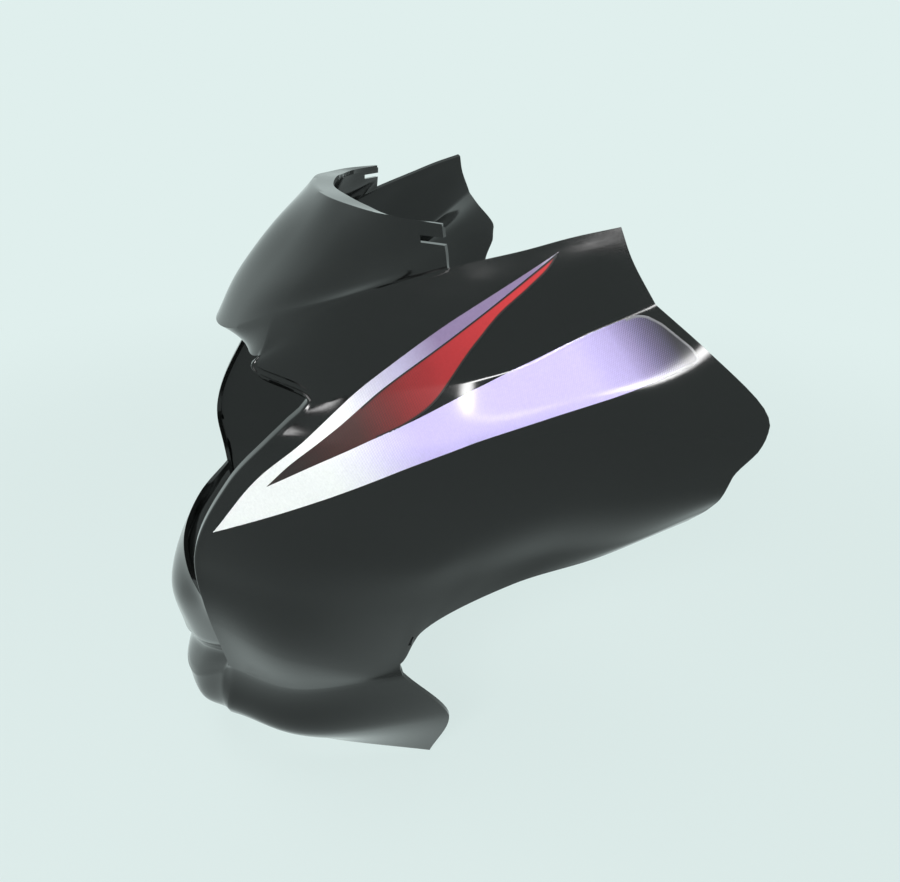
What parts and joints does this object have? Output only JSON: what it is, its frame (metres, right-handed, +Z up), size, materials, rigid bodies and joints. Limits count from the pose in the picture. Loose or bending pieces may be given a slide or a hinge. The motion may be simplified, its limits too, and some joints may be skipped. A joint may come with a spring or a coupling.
{
  "type": "motorcycle headlight visor",
  "caption": "One-piece moulded headlight visor with flyscreen hood, side wings, bumper strip and chin, with vinyl side stripes.",
  "frame": {"origin": "midway between the two side screw holes, on the middle plane", "axes": "+X to the bike's left, -Y forward, +Z up, pitched as the visor stands on the bike"},
  "size_m": [0.3676, 0.2573, 0.3461],
  "materials": {
    "gloss_black": "high gloss",
    "stripe_vinyl": "gloss vinyl film, white to lilac",
    "red_vinyl": "gloss vinyl film, red fading to black"
  },
  "bodies": {
    "root": {"visor_shell": "gloss_black", "stripe_left": "stripe_vinyl", "stripe_right": "stripe_vinyl", "red_blade_left": "red_vinyl", "red_blade_right": "red_vinyl"}
  },
  "joints": []
}
